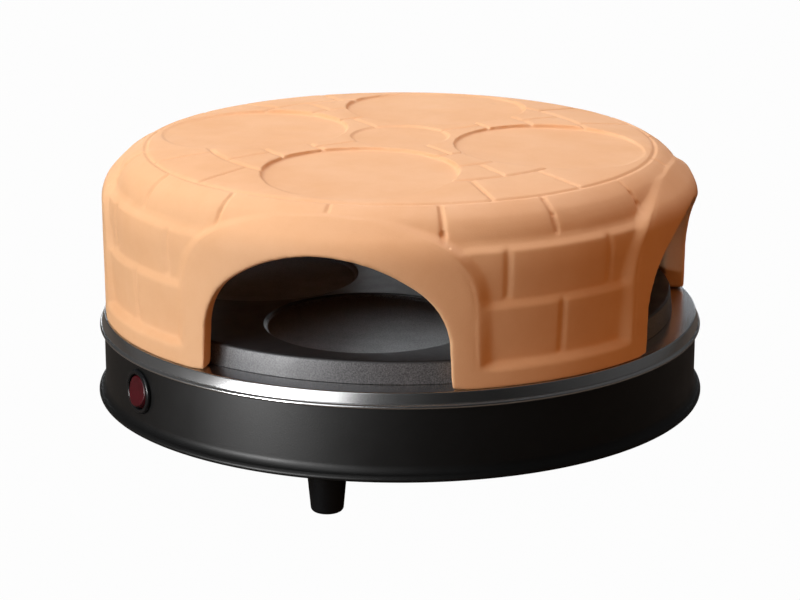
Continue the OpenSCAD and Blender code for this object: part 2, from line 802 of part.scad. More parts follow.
// Lead that runs from point to point
module lead(points) {
    last = len(points) - 1;
    for (i = [1 : last]) {
        back = bar_tuck * unit(points[i] - points[i - 1]);
        rod(points[i - 1] + (i == 1 ? 0 : 1) * back, points[i] - (i == last ? 0 : 1) * back, lead_r);
    }
    for (i = [1 : 1 : last - 1]) knuckle(points[i], lead_r);
}

// Lead that drops from a switch blade and follows the drum to an azimuth behind the switch
module ring_lead(x, z, az_end) {
    r = norm([x, lead_ring_r]);
    az = switch_az + atan(x / lead_ring_r);
    tuck = atan(bar_tuck / r);
    rod(at(r, az, blade_z), at(r, az, z + bar_tuck), lead_r);
    knuckle(at(r, az, z), lead_r);
    arc_bar(r, z, lead_r, az_end - 360 + tuck, az - tuck);
}

module live_lead() {
    lead_end = block_az + 14;
    run = 6;
    from = at(lead_ring_r, lead_end, lead_z);
    turn = beside(block_w / 2 + run, block_ring_r, block_az, lead_z);
    color("#7a3b1e") {
        ring_lead(blade_x[1], lead_z, lead_end);
        knuckle(from, lead_r);
        lead([from + bar_tuck * unit(turn - from), turn,
              beside(block_w / 2, block_ring_r, block_az, lead_z)]);
    }
}

module switched_lead() {
    leg = beside(-elbow_r, loop_outer_r, leg_az, inner_lead_z);
    end_az = leg_az - atan(elbow_r / lead_ring_r);
    from = at(norm([blade_x[0], lead_ring_r]), end_az, inner_lead_z);
    color("#2a2a2a") {
        ring_lead(blade_x[0], inner_lead_z, end_az);
        knuckle(from, lead_r);
        lead([from + bar_tuck * unit(leg - from), leg, [leg.x, leg.y, leg_end_z]]);
    }
}

module neutral_lead() {
    pad = cutout_r / 2;
    pad_z = well_under_z - cutout_h;
    color("#2c4f86") {
        lead([at(cutout_ring_r + pad, block_az, pad_z), at(cutout_ring_r + pad, block_az, inner_lead_z),
              at(block_face_r, block_az, inner_lead_z)]);
        lead([at(cutout_ring_r - pad, block_az, pad_z), at(cutout_ring_r - pad, block_az, inner_lead_z),
              beside(-elbow_r, loop_inner_r, leg_az, inner_lead_z),
              beside(-elbow_r, loop_inner_r, leg_az, leg_end_z)]);
    }
}

module earth_lead() {
    color("#7f9a3a") lead([at(tag_ring_r, tag_az, well_under_z - tag_t - over),
                           at(tag_ring_r, tag_az, inner_lead_z),
                           beside(-block_pitch, block_face_r - 8, block_az, inner_lead_z),
                           beside(-block_pitch, block_face_r, block_az, inner_lead_z)]);
}

module switch_housing() {
    color("#121212") at_az(switch_az) translate([0, 0, switch_z]) rotate([quarter, 0, 0]) difference() {
        union() {
            translate([0, 0, drum_r]) cylinder(h = bezel_t - over, r = bezel_r);
            translate([0, 0, drum_r + bezel_t - over]) cylinder(h = over, r1 = bezel_r, r2 = bezel_r - over);
            translate([0, 0, -barrel_end_y]) cylinder(h = drum_r + barrel_end_y, r = barrel_r);
        }
        translate([0, 0, -bezel_y - pocket_d]) cylinder(h = pocket_d + over, r = pocket_r);
        translate([-pivot_bore_x, 0, -bezel_y - pivot_y]) rotate([0, quarter, 0])
            cylinder(h = 2 * pivot_bore_x, r = pivot_r + pivot_gap);
    }
}

module switch_rocker() {
    color("#a01016") at_az(switch_az) translate([0, bezel_y + pivot_y, switch_z])
        rotate([-rocker_tilt, 0, 0]) {
        difference() {
            sphere(rocker_r);
            for (s = [-1, 1]) rotate([s * rocker_tilt, 0, 0])
                translate([-rocker_r, -2 * rocker_r - pivot_y, s < 0 ? -2 * rocker_r : 0])
                cube([2 * rocker_r, 2 * rocker_r, 2 * rocker_r]);
            translate([-rocker_r, pivot_y, -rocker_r]) cube(2 * rocker_r);
        }
        translate([-pivot_x, 0, 0]) rotate([0, quarter, 0]) cylinder(h = 2 * pivot_x, r = pivot_r);
    }
}

module switch_lamp() {
    color("#e07030") at_az(switch_az) translate([0, bezel_y + pocket_d, switch_z])
        rotate([quarter, 0, 0]) cylinder(h = over, r = lamp_r);
}

module switch_terminals() {
    color("#d0b060") at_az(switch_az) for (x = blade_x)
        translate([x - 0.4, barrel_end_y, blade_z]) cube([0.8, blade_l, blade_w]);
}

module cord_gland() {
    color("#181818") at_az(inlet_az) translate([0, 0, inlet_z]) rotate([quarter, 0, 0]) difference() {
        union() {
            translate([0, 0, drum_in_r - gland_in]) cylinder(h = gland_in + drum_sheet, r = inlet_barrel_r);
            translate([0, 0, drum_r]) cylinder(h = gland_flange_t, r = inlet_flange_r);
            translate([0, 0, drum_r + gland_flange_t])
                cylinder(h = gland_out - gland_flange_t, r1 = inlet_barrel_r, r2 = inlet_barrel_r - over);
        }
        translate([0, 0, drum_in_r - gland_in - over])
            cylinder(h = gland_in + drum_sheet + gland_out + 2 * over, r = inlet_bore_r);
    }
}

module gland_nut() {
    nut_t = 4;
    color("#181818") at_az(inlet_az) translate([0, -(drum_in_r - nut_t - 1), inlet_z]) rotate([quarter, 0, 0])
        difference() {
            cylinder(h = nut_t, r = inlet_flange_r, $fn = 6);
            translate([0, 0, -over]) cylinder(h = nut_t + 2 * over, r = inlet_barrel_r + hole_gap);
        }
}

base_drum();
bottom_cover();
foot_front();
foot_right();
foot_left();
foot_screws();
support_posts();
steel_tray();
heating_element();
element_brackets();
element_bushes();
element_nuts();
heat_shield();
shield_spacers();
shield_nuts();
thermal_cutout();
cutout_screws();
terminal_block();
terminal_screws();
earth_tag();
live_lead();
switched_lead();
neutral_lead();
earth_lead();
switch_housing();
switch_rocker();
switch_lamp();
switch_terminals();
cord_gland();
gland_nut();
baking_plate();
terracotta_dome();
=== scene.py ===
"""Electric pizza maker with a terracotta dome, dressed over its CAD frame."""
import json
import math

import bmesh
import bpy
import numpy as np
from mathutils import Matrix, Vector


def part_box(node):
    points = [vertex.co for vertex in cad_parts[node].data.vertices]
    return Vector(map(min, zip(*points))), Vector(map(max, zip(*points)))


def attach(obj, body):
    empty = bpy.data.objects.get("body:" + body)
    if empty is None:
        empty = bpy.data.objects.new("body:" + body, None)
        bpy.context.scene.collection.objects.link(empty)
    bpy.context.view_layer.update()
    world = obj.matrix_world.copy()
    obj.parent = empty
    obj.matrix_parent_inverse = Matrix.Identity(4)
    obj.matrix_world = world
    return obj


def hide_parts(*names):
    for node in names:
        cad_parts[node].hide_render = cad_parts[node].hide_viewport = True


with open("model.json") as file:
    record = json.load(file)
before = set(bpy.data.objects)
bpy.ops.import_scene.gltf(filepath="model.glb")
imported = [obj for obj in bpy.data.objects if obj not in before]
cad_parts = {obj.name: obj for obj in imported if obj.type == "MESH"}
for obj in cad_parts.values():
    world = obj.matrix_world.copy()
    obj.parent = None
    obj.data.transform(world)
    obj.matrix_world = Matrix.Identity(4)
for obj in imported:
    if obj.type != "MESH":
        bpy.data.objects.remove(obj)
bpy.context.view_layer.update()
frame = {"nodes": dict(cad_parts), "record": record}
SCENE = bpy.context.scene
SCENE.view_settings.view_transform = "Standard"
MM = 0.001

# Places and sizes that more than one piece uses, in millimetres and degrees
SWITCH_AZ, SWITCH_Z, POCKET_R = -42.3, 48.5, 9.95
DECK_Z, SHEET, PLATE_TOP_Z = 73.0, 1.2, 85.65

# ------------------------------------------------------------------ shader nodes


def feed(tree, socket, value):
    """Links a socket to another one, or sets it to a plain value."""
    if isinstance(value, bpy.types.NodeSocket):
        tree.links.new(value, socket)
    else:
        socket.default_value = value


def new_math(tree, operation, *terms):
    """Result of a Math node whose terms are sockets or numbers."""
    node = tree.nodes.new("ShaderNodeMath")
    node.operation = operation
    for socket, term in zip(node.inputs, terms):
        feed(tree, socket, term)
    return node.outputs[0]


def new_blend(tree, factor, first, second):
    """Colour part of the way from a first to a second one."""
    node = tree.nodes.new("ShaderNodeMix")
    node.data_type = "RGBA"
    for label, value in (("Factor", factor), ("A", first), ("B", second)):
        feed(tree, node.inputs[label], value)
    return node.outputs["Result"]


def new_range(tree, value, low, high, to_low=0.0, to_high=1.0):
    """Value stretched from one range to another."""
    node = tree.nodes.new("ShaderNodeMapRange")
    for label, edge in (("Value", value), ("From Min", low), ("From Max", high), ("To Min", to_low),
                        ("To Max", to_high)):
        feed(tree, node.inputs[label], edge)
    return node.outputs["Result"]


def new_noise(tree, scale, detail, roughness=0.5):
    """Noise that lies on a piece's own coordinates."""
    coords = tree.nodes.new("ShaderNodeTexCoord")
    node = tree.nodes.new("ShaderNodeTexNoise")
    for label, value in (("Vector", coords.outputs["Object"]), ("Scale", scale), ("Detail", detail),
                         ("Roughness", roughness)):
        feed(tree, node.inputs[label], value)
    return node.outputs["Fac"]


def new_ramp(tree, value, stops):
    """Colour ramp through (place, colour) stops."""
    node = tree.nodes.new("ShaderNodeValToRGB")
    while len(node.color_ramp.elements) < len(stops):
        node.color_ramp.elements.new(0.5)
    for element, (place, colour) in zip(node.color_ramp.elements, stops):
        element.position = place
        element.color = (*colour, 1)
    feed(tree, node.inputs["Fac"], value)
    return node.outputs["Color"]


def new_bump(tree, height, distance, normal=None):
    """Normal tilted by a height, on top of an earlier normal if there is one."""
    node = tree.nodes.new("ShaderNodeBump")
    node.inputs["Strength"].default_value = 1.0
    feed(tree, node.inputs["Distance"], distance)
    feed(tree, node.inputs["Height"], height)
    if normal is not None:
        feed(tree, node.inputs["Normal"], normal)
    return node.outputs["Normal"]


# ------------------------------------------------------------------ camera, floor and light


def make_camera():
    """Camera at the photograph's place: 14.4 degrees round from the front mouth."""
    azimuth, tilt = math.radians(14.4), math.radians(16.077)
    reach, height = 1.4732, 0.4986
    data = bpy.data.cameras.new("studio_camera")
    data.sensor_width = 36.0
    data.lens = 117.07
    data.clip_end = 20
    camera = bpy.data.objects.new("studio_camera", data)
    SCENE.collection.objects.link(camera)
    camera.location = (reach * math.sin(azimuth), -reach * math.cos(azimuth), height)
    camera.rotation_euler = (math.pi / 2 - tilt, 0, azimuth)
    SCENE.camera = camera


def seen_plainly(tree):
    """Factor that is 1 for rays that look at the stage, straight or through glass, and 0 for light."""
    path = tree.nodes.new("ShaderNodeLightPath")
    return new_math(tree, "MAXIMUM", path.outputs["Is Camera Ray"], path.outputs["Is Transmission Ray"])


def make_floor():
    """Pale floor that looks white, keeps a faint shadow and throws little light back."""
    reach, whiteness, bounce = 6.0, 0.98, (0.11, 0.085, 0.06, 1)
    mesh = bpy.data.meshes.new("floor")
    corners = [(-reach, -reach, 0), (reach, -reach, 0), (reach, reach, 0), (-reach, reach, 0)]
    mesh.from_pydata(corners, [], [(0, 1, 2, 3)])
    floor = bpy.data.objects.new("floor", mesh)
    SCENE.collection.objects.link(floor)
    mat = bpy.data.materials.new("pale_floor")
    mat.use_nodes = True
    tree = mat.node_tree
    shader = tree.nodes["Principled BSDF"]
    for label, value in (("Base Color", bounce), ("Roughness", 0.9), ("Specular IOR Level", 0.1)):
        shader.inputs[label].default_value = value
    glow = tree.nodes.new("ShaderNodeEmission")
    glow.inputs["Color"].default_value = (1, 1, 1, 1)
    mix = tree.nodes.new("ShaderNodeMixShader")
    share = new_math(tree, "MULTIPLY", seen_plainly(tree), whiteness)
    for socket, source in zip(mix.inputs, (share, shader.outputs[0], glow.outputs[0])):
        tree.links.new(source, socket)
    tree.links.new(mix.outputs[0], tree.nodes["Material Output"].inputs["Surface"])
    mesh.materials.append(mat)


def sky_along(tree, axis, stops, tint=(1, 1, 1)):
    """Sky whose grey follows how far a direction points along an axis."""
    coords = tree.nodes.new("ShaderNodeTexCoord")
    along = tree.nodes.new("ShaderNodeVectorMath")
    along.operation = "DOT_PRODUCT"
    along.inputs[1].default_value = axis
    tree.links.new(coords.outputs["Generated"], along.inputs[0])
    share = new_math(tree, "MULTIPLY_ADD", along.outputs["Value"], 0.5, 0.5)
    return new_ramp(tree, share, [(place, [grey * part for part in tint]) for place, grey in stops])


def make_world():
    """White behind the object, a dim room in reflections, and a soft warm light from the upper left."""
    world = bpy.data.worlds.new("studio")
    SCENE.world = world
    world.use_nodes = True
    tree = world.node_tree
    path = tree.nodes.new("ShaderNodeLightPath")
    upper_left, away = (-0.62, 0.0, 0.78), (-0.249, 0.969, 0)
    light = sky_along(tree, upper_left, [(0.30, 0.03), (0.60, 0.07), (0.95, 0.20)], (1.0, 0.78, 0.55))
    room = sky_along(tree, away, [(0.12, 0.015), (0.50, 0.08), (0.80, 0.10), (0.98, 0.05)])
    colour = new_blend(tree, path.outputs["Is Glossy Ray"], light, room)
    colour = new_blend(tree, seen_plainly(tree), colour, (1, 1, 1, 1))
    background = tree.nodes["Background"]
    background.inputs["Strength"].default_value = 1.0
    tree.links.new(colour, background.inputs["Color"])


def softbox(name, place, aim, size, power, tint=(1, 1, 1), seen_in="both"):
    """Area lamp; seen_in "shade" leaves it out of reflections, "gloss" shows it in reflections alone."""
    data = bpy.data.lights.new(name, "AREA")
    data.shape = "RECTANGLE"
    data.size, data.size_y = size
    data.energy = power
    data.color = tint
    lamp = bpy.data.objects.new(name, data)
    SCENE.collection.objects.link(lamp)
    lamp.visible_glossy = seen_in != "shade"
    lamp.visible_diffuse = seen_in != "gloss"
    lamp.location = place
    lamp.rotation_euler = (Vector(aim) - Vector(place)).to_track_quat("-Z", "Y").to_euler()


def around(radius, azimuth, height):
    """Point at a radius and azimuth, counted from -Y towards +X."""
    angle = math.radians(azimuth)
    return (radius * math.sin(angle), -radius * math.cos(angle), height)


def light_studio():
    """Soft key from the left, lights that only the gloss shows, and a warm fill on the right."""
    warm = (1.0, 0.38, 0.07)
    softbox("key_left", around(1.55, -42, 0.85), (0, 0, 0.08), (1.3, 1.5), 29.5, (1.0, 1.08, 1.27), "shade")
    softbox("key_gloss", around(1.55, -22, 0.85), (0, 0, 0.08), (1.0, 1.5), 11.5, seen_in="gloss")
    softbox("low_strip", around(1.25, -34, 0.12), (0, 0, 0.05), (0.45, 0.16), 15, seen_in="gloss")
    softbox("top", around(0.5, 185, 1.5), (0, 0, 0.12), (0.8, 0.8), 15.5, (0.97, 1.07, 1.36))
    softbox("warm_fill", around(1.6, 66, 0.5), (0, 0, 0.10), (0.9, 0.9), 4.8, warm, "shade")
    softbox("back_glow", around(1.6, 196, 0.2), (0, 0, 0.1), (1.6, 0.22), 4, (0.92, 0.96, 1.0), "gloss")


# ------------------------------------------------------------------ shared shader groups


def new_group(name, inputs, outputs):
    """Shader group with named inputs and outputs, and its two end nodes."""
    group = bpy.data.node_groups.new(name, "ShaderNodeTree")
    for label, kind, value in inputs:
        socket = group.interface.new_socket(label, in_out="INPUT", socket_type=kind)
        socket.default_value = value
    for label, kind in outputs:
        group.interface.new_socket(label, in_out="OUTPUT", socket_type=kind)
    start = group.nodes.new("NodeGroupInput")
    end = group.nodes.new("NodeGroupOutput")
    return group, start, end


FLOAT, COLOUR, VECTOR = "NodeSocketFloat", "NodeSocketColor", "NodeSocketVector"


def mottle_group():
    """Two tones broken by clouds of a given size, with a finer grain on top."""
    group, start, end = new_group(
        "mottle",
        [("Light", COLOUR, (1, 1, 1, 1)), ("Dark", COLOUR, (0.5, 0.5, 0.5, 1)), ("Size", FLOAT, 30.0),
         ("Amount", FLOAT, 0.5), ("Grain Size", FLOAT, 900.0), ("Grain", FLOAT, 0.1)],
        [("Color", COLOUR), ("Cloud", FLOAT)],
    )
    cloud = new_noise(group, start.outputs["Size"], 5, 0.6)
    grain = new_noise(group, start.outputs["Grain Size"], 2)
    clouded = new_math(group, "MULTIPLY", new_range(group, cloud, 0.3, 0.7), start.outputs["Amount"])
    speckled = new_math(group, "MULTIPLY_ADD", grain, start.outputs["Grain"], clouded)
    feed(group, end.inputs["Color"], new_blend(group, speckled, start.outputs["Light"], start.outputs["Dark"]))
    feed(group, end.inputs["Cloud"], cloud)
    return group


def grain_bump_group():
    """Normal of a fine grain over a broad unevenness."""
    group, start, end = new_group(
        "grain_bump",
        [("Fine Size", FLOAT, 900.0), ("Fine Depth", FLOAT, 0.00005), ("Broad Size", FLOAT, 40.0),
         ("Broad Depth", FLOAT, 0.0004)],
        [("Normal", VECTOR)],
    )
    broad = new_bump(group, new_noise(group, start.outputs["Broad Size"], 2), start.outputs["Broad Depth"])
    fine = new_bump(group, new_noise(group, start.outputs["Fine Size"], 3), start.outputs["Fine Depth"], broad)
    feed(group, end.inputs["Normal"], fine)
    return group


MOTTLE = mottle_group()
GRAIN = grain_bump_group()


def placed_group(tree, group, values):
    """Group node with its own values."""
    node = tree.nodes.new("ShaderNodeGroup")
    node.node_tree = group
    for label, value in values.items():
        node.inputs[label].default_value = value
    return node


def finish(name, light, dark, size=30.0, amount=0.5, grain_size=900.0, grain=0.1, rough=(0.5, 0.6),
           fine=(900.0, 0.00004), broad=(40.0, 0.0002), **sockets):
    """Material with two mottled tones, uneven roughness and a grained normal."""
    mat = bpy.data.materials.new(name)
    mat.use_nodes = True
    tree = mat.node_tree
    shader = tree.nodes["Principled BSDF"]
    tone = placed_group(tree, MOTTLE, {"Light": (*light, 1), "Dark": (*dark, 1), "Size": size,
                                       "Amount": amount, "Grain Size": grain_size, "Grain": grain})
    grained = placed_group(tree, GRAIN, {"Fine Size": fine[0], "Fine Depth": fine[1],
                                         "Broad Size": broad[0], "Broad Depth": broad[1]})
    feed(tree, shader.inputs["Base Color"], tone.outputs["Color"])
    feed(tree, shader.inputs["Roughness"], new_range(tree, tone.outputs["Cloud"], 0.25, 0.75, *rough))
    feed(tree, shader.inputs["Normal"], grained.outputs["Normal"])
    for label, value in sockets.items():
        shader.inputs[label.replace("_", " ")].default_value = value
    return mat


def weathered_skirt(mat):
    """Greyer, drier coating on the plate's skirt, below its rounded edge."""
    edge_top, edge_foot = (PLATE_TOP_Z - 0.45) * MM, (PLATE_TOP_Z - 1.65) * MM
    dull, powdery = (0.045, 0.043, 0.041), (0.15, 0.145, 0.138)
    tree = mat.node_tree
    shader = tree.nodes["Principled BSDF"]
    coating = shader.inputs["Base Color"].links[0].from_socket
    coords = tree.nodes.new("ShaderNodeTexCoord")
    parts = tree.nodes.new("ShaderNodeSeparateXYZ")
    feed(tree, parts.inputs[0], coords.outputs["Object"])
    below = new_range(tree, parts.outputs["Z"], edge_top, edge_foot)
    powder = new_ramp(tree, new_noise(tree, 1400, 3), [(0.35, dull), (0.7, powdery)])
    feed(tree, shader.inputs["Base Color"], new_blend(tree, below, coating, powder))


# Light tone, dark tone, and what differs from the plain finish
FINISHES = {
    "terracotta": ((0.86, 0.475, 0.225), (0.75, 0.36, 0.145), {
        "size": 22, "amount": 0.45, "grain_size": 1500, "grain": 0.25, "rough": (0.62, 0.8),
        "fine": (1400, 0.00006), "broad": (60, 0.00025), "Specular_IOR_Level": 0.25}),
    "plate_coating": ((0.024, 0.022, 0.021), (0.015, 0.014, 0.013), {
        "size": 60, "grain_size": 2200, "grain": 0.9, "rough": (0.38, 0.5), "fine": (2200, 0.00005),
        "broad": (30, 0.0001)}),
    "stainless": ((0.62, 0.62, 0.62), (0.52, 0.52, 0.53), {
        "size": 14, "amount": 0.5, "grain_size": 1200, "grain": 0.1, "rough": (0.19, 0.27),
        "fine": (900, 0.000006), "broad": (25, 0.00004), "Metallic": 1.0}),
    "drum_black": ((0.0012, 0.0012, 0.0011), (0.0006, 0.0006, 0.0006), {
        "size": 40, "rough": (0.42, 0.50), "fine": (1300, 0.000045), "broad": (20, 0.00006),
        "Specular_IOR_Level": 0.36}),
    "cover_black": ((0.018, 0.018, 0.018), (0.012, 0.012, 0.012), {"rough": (0.5, 0.62)}),
    "foot_plastic": ((0.006, 0.006, 0.006), (0.004, 0.004, 0.004), {
        "rough": (0.22, 0.3), "fine": (700, 0.00001), "Specular_IOR_Level": 0.25}),
    "zinc_steel": ((0.62, 0.63, 0.65), (0.42, 0.43, 0.46), {
        "size": 90, "rough": (0.28, 0.45), "fine": (800, 0.00002), "Metallic": 1.0}),
    "element_steel": ((0.14, 0.12, 0.11), (0.05, 0.045, 0.045), {
        "size": 45, "rough": (0.42, 0.6), "Metallic": 0.9}),
    "porcelain": ((0.82, 0.79, 0.73), (0.72, 0.68, 0.6), {"rough": (0.45, 0.6)}),
    "brass": ((0.72, 0.50, 0.20), (0.5, 0.33, 0.12), {"size": 80, "rough": (0.25, 0.4), "Metallic": 1.0}),
    "shield_aluminium": ((0.80, 0.80, 0.81), (0.64, 0.65, 0.67), {
        "size": 16, "rough": (0.3, 0.42), "Metallic": 1.0}),
    "cutout_black": ((0.035, 0.03, 0.026), (0.02, 0.018, 0.016), {"rough": (0.5, 0.6)}),
    "block_cream": ((0.66, 0.60, 0.46), (0.55, 0.49, 0.36), {"rough": (0.45, 0.55)}),
    "lead_brown": ((0.16, 0.06, 0.03), (0.1, 0.04, 0.02), {"rough": (0.45, 0.55)}),
    "lead_black": ((0.02, 0.02, 0.02), (0.012, 0.012, 0.012), {"rough": (0.45, 0.55)}),
    "lead_blue": ((0.04, 0.11, 0.32), (0.02, 0.06, 0.2), {"rough": (0.45, 0.55)}),
    "lead_green": ((0.28, 0.38, 0.05), (0.12, 0.25, 0.03), {
        "size": 120, "amount": 0.9, "rough": (0.45, 0.55)}),
    "switch_black": ((0.007, 0.007, 0.007), (0.005, 0.005, 0.005), {
        "rough": (0.24, 0.32), "fine": (900, 0.000006), "Specular_IOR_Level": 0.3}),
    "rocker_red": ((0.07, 0.004, 0.007), (0.035, 0.002, 0.003), {
        "size": 160, "amount": 0.6, "rough": (0.28, 0.36), "fine": (900, 0.000004),
        "Specular_IOR_Level": 0.25}),
    "lamp_glass": ((0.9, 0.5, 0.3), (0.8, 0.4, 0.2), {"rough": (0.1, 0.16)}),
    "gland_black": ((0.015, 0.015, 0.015), (0.01, 0.01, 0.01), {"rough": (0.4, 0.5)}),
}


def make_finishes():
    """Every finish by the name of its slot."""
    mats = {name: finish(name, light, dark, **rest) for name, (light, dark, rest) in FINISHES.items()}
    weathered_skirt(mats["plate_coating"])
    return mats


def dress_nodes(mats):
    """Gives each CAD node the finish that its slot names."""
    slots = {entry["node"]: entry["material_slot"] for entry in frame["record"]["subparts"]}
    for name, node in frame["nodes"].items():
        node.data.materials.clear()
        node.data.materials.append(mats[slots[name]])


# ------------------------------------------------------------------ turned sheet metal


def turned_tree():
    """Sweeps the outline of a section once round an upright axle."""
    tree = bpy.data.node_groups.new("turned_section", "GeometryNodeTree")
    face = tree.interface
    face.new_socket("Outline", in_out="INPUT", socket_type="NodeSocketGeometry")
    face.new_socket("Axle Radius", in_out="INPUT", socket_type="NodeSocketFloat").default_value = 0.001
    face.new_socket("Steps", in_out="INPUT", socket_type="NodeSocketInt").default_value = 360
    face.new_socket("Finish", in_out="INPUT", socket_type="NodeSocketMaterial")
    face.new_socket("Section", in_out="OUTPUT", socket_type="NodeSocketGeometry")
    nodes, links = tree.nodes, tree.links
    start, end = nodes.new("NodeGroupInput"), nodes.new("NodeGroupOutput")
    axle = nodes.new("GeometryNodeCurvePrimitiveCircle")
    links.new(start.outputs["Steps"], axle.inputs["Resolution"])
    links.new(start.outputs["Axle Radius"], axle.inputs["Radius"])
    outline = nodes.new("GeometryNodeMeshToCurve")
    links.new(start.outputs["Outline"], outline.inputs["Mesh"])
    sweep = nodes.new("GeometryNodeCurveToMesh")
    links.new(axle.outputs["Curve"], sweep.inputs["Curve"])
    links.new(outline.outputs["Curve"], sweep.inputs["Profile Curve"])
    close = nodes.new("GeometryNodeMergeByDistance")
    close.inputs["Distance"].default_value = 0.000002
    links.new(sweep.outputs["Mesh"], close.inputs["Geometry"])
    real = nodes.new("GeometryNodeRealizeInstances")
    links.new(close.outputs["Geometry"], real.inputs["Geometry"])
    coat = nodes.new("GeometryNodeSetMaterial")
    links.new(real.outputs["Geometry"], coat.inputs["Geometry"])
    links.new(start.outputs["Finish"], coat.inputs["Material"])
    links.new(coat.outputs["Geometry"], end.inputs["Section"])
    return tree


TURNED = turned_tree()


def rounded(corners, steps=7):
    """Closed outline through (radius, height, rounding) corners in millimetres."""
    points = []
    for i, (x, z, r) in enumerate(corners):
        here = Vector((x, z))
        if r == 0:
            points.append(here)
            continue
        back = (Vector(corners[i - 1][:2]) - here).normalized()
        ahead = (Vector(corners[(i + 1) % len(corners)][:2]) - here).normalized()
        half = back.angle(ahead) / 2
        centre = here + (back + ahead).normalized() * (r / math.sin(half))
        first = here + back * (r / math.tan(half)) - centre
        last = here + ahead * (r / math.tan(half)) - centre
        sweep = math.pi - 2 * half
        for k in range(steps + 1):
            share = k / steps
            points.append(centre + (first * math.sin((1 - share) * sweep) + last * math.sin(share * sweep))
                          / math.sin(sweep))
    return points


def arc(centre, radius, start, stop, steps):
    """Points round a centre between two angles in degrees."""
    turns = [math.radians(start + (stop - start) * k / steps) for k in range(steps + 1)]
    return [Vector((centre[0] + radius * math.cos(t), centre[1] + radius * math.sin(t))) for t in turns]


def turn(name, outline, mat, steps=360):
    """Turned piece from a closed outline of (radius, height) points in millimetres."""
    axle = 1.0
    mesh = bpy.data.meshes.new(name + "_outline")
    verts = [((p[0] - axle) * MM, -p[1] * MM, 0) for p in outline]
    closed = [(k, (k + 1) % len(verts)) for k in range(len(verts))]
    mesh.from_pydata(verts, closed, [])
    piece = bpy.data.objects.new(name, mesh)
    SCENE.collection.objects.link(piece)
    turner = piece.modifiers.new("turner", "NODES")
    turner.node_group = TURNED
    wanted = {"Axle Radius": axle * MM, "Steps": steps, "Finish": mat}
    for item in TURNED.interface.items_tree:
        if item.in_out == "INPUT" and item.name in wanted:
            turner[item.identifier] = wanted[item.name]
    turned = applied(piece)
    work = bmesh.new()
    work.from_mesh(turned)
    if work.calc_volume(signed=True) < 0:
        bmesh.ops.reverse_faces(work, faces=work.faces)
    work.to_mesh(turned)
    work.free()
    shaded(piece)
    return piece


def applied(piece):
    """Turns a piece's modifiers into its plain mesh."""
    mesh = bpy.data.meshes.new_from_object(piece.evaluated_get(bpy.context.evaluated_depsgraph_get()))
    piece.modifiers.clear()
    piece.data = mesh
    mesh.name = piece.name
    return mesh


def shaded(piece, angle=40):
    """Smooth shading that stays sharp where faces meet at more than an angle in degrees."""
    for poly in piece.data.polygons:
        poly.use_smooth = True
    piece.data.set_sharp_from_angle(angle=math.radians(angle))


def settle(piece, node, body):
    """Hides the node that a piece stands in for and hangs the piece on the node's body."""
    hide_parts(node)
    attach(piece, body)


def bored(piece, cutters):
    """Takes cutter pieces out of a piece."""
    for cutter in cutters:
        cut = piece.modifiers.new("bore", "BOOLEAN")
        cut.operation = "DIFFERENCE"
        cut.solver = "EXACT"
        cut.object = cutter
    applied(piece)
    for cutter in cutters:
        bpy.data.objects.remove(cutter)
    return piece


def placed(piece, turn_z, move, tip=0.0):
    """Tips a turned piece off its axle, moves it in millimetres, then turns it round the drum's axis."""
    tipped = Matrix.Rotation(math.radians(tip), 4, "X")
    moved = Matrix.Translation(Vector(move) * MM)
    piece.data.transform(Matrix.Rotation(math.radians(turn_z), 4, "Z") @ moved @ tipped)
    return piece


def plain_rod(name, radius, low, high, mat, steps=64):
    """Round bar on the axle."""
    return turn(name, [Vector(p) for p in ((0, low), (radius, low), (radius, high), (0, high))], mat, steps)


# ------------------------------------------------------------------ tray, drum, plate and switch


def make_tray(mat):
    """Pressed tray: well, deck and the leaning rim band with its rolled bead."""
    rim_r, well_top_r, well_foot_r, well_z = 173.2, 146.0, 141.0, 48.8
    lean_foot = (175.1, 66.9)
    bead = arc((174.9, 65.4), 1.1, 62, -205, 14)
    over = [(0, well_z + SHEET, 0), (well_foot_r, well_z + SHEET, 3.5), (well_top_r, DECK_Z, 1.2),
            (rim_r, DECK_Z, 0.9)]
    under = [(rim_r - 1.0, DECK_Z - SHEET, 0.5), (well_top_r + SHEET, DECK_Z - SHEET, 2.0),
             (well_foot_r + SHEET, well_z, 2.5), (0, well_z, 0)]
    upper = rounded(over + [(*lean_foot, 0)])[:-1] + [Vector((174.9, 67.3)), Vector((174.7, 66.9))]
    lower = rounded([(174.2, 66.3, 0)] + under)[1:]
    return turn("pressed_tray", upper + bead + lower, mat)


def make_drum(mat):
    """Painted drum: flange, rounded edge, wall, flared lip, rolled bead, and holes for switch and inlet."""
    wall_r, flange_r, skin, top_z = 173.4, 151.4, 1.5, DECK_Z - SHEET
    flare_r, flare_z, mid_z = 6.0, 32.73, 40
    switch_hole_r, inlet_az, inlet_z, inlet_r = 11.2, 150.0, 42.5, 6.7
    bore_from, bore_to = 160, 185
    flare = arc((wall_r + flare_r, flare_z), flare_r, 180, 242, 8)
    bead = arc((175.8, 25.7), 1.7, 55, -190, 16)
    inner = arc((wall_r + flare_r, flare_z), flare_r + skin, 228, 180, 6)
    top = rounded([(wall_r - skin, mid_z, 0), (wall_r - skin, top_z - skin, 3.5), (flange_r, top_z - skin, 0.4),
                   (flange_r, top_z, 0.4), (wall_r, top_z, 5.0), (wall_r, mid_z, 0)])[1:-1]
    drum = turn("painted_drum", top + flare + bead + inner, mat)
    holes = []
    for azimuth, height, radius in ((SWITCH_AZ, SWITCH_Z, switch_hole_r), (inlet_az, inlet_z, inlet_r)):
        hole = plain_rod("hole", radius, bore_from, bore_to, mat)
        holes.append(placed(hole, azimuth, (0, 0, height), 90))
    bored(drum, holes)
    shaded(drum)
    return drum


